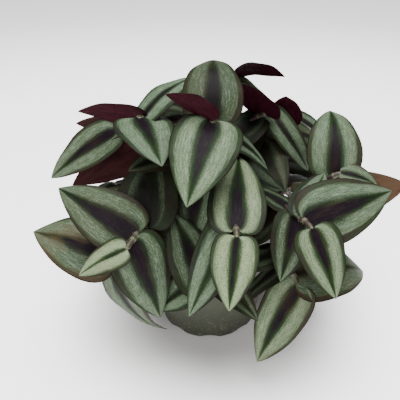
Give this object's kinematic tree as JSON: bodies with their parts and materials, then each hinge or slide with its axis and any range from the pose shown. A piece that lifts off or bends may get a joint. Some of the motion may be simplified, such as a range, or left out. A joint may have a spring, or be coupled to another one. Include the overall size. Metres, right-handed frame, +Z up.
{
  "type": "potted tradescantia",
  "caption": "Dome of striped heart-shaped leaves on trailing stems, rooted in soil in a small plain tapered nursery pot.",
  "frame": {"origin": "on the pot's axis, in the plane of the foot ring's underside that the pot stands on", "axes": "+Z up along the pot's axis; -Y is the front, the side that the plant leans and trails towards; +X is to the right, seen from the front"},
  "size_m": [0.2683, 0.2426, 0.2029],
  "materials": {
    "pot": "matt moulded plastic",
    "soil": "crumbly, damp and matt",
    "leaf": "satin leaf, silvery green stripes over dark green and purple"
  },
  "bodies": {
    "root": {"pot": "pot", "soil": "soil", "stem_back": "leaf", "stem_behind_right": "leaf", "stem_crown": "leaf", "stem_deep_rear": "leaf", "stem_deep_rear_left": "leaf", "stem_deep_rear_right": "leaf", "stem_far_left": "leaf", "stem_far_right": "leaf", "stem_front_centre": "leaf", "stem_front_left": "leaf", "stem_front_right": "leaf", "stem_inner": "leaf", "stem_left": "leaf", "stem_low_centre": "leaf", "stem_low_left": "leaf", "stem_low_rear": "leaf", "stem_low_rear_left": "leaf", "stem_low_rear_right": "leaf", "stem_low_right": "leaf", "stem_rear": "leaf", "stem_rear_left": "leaf", "stem_rear_right": "leaf", "stem_right": "leaf", "stem_side_left": "leaf", "stem_side_right": "leaf", "stem_upper_left": "leaf", "stem_upper_right": "leaf"}
  },
  "joints": []
}
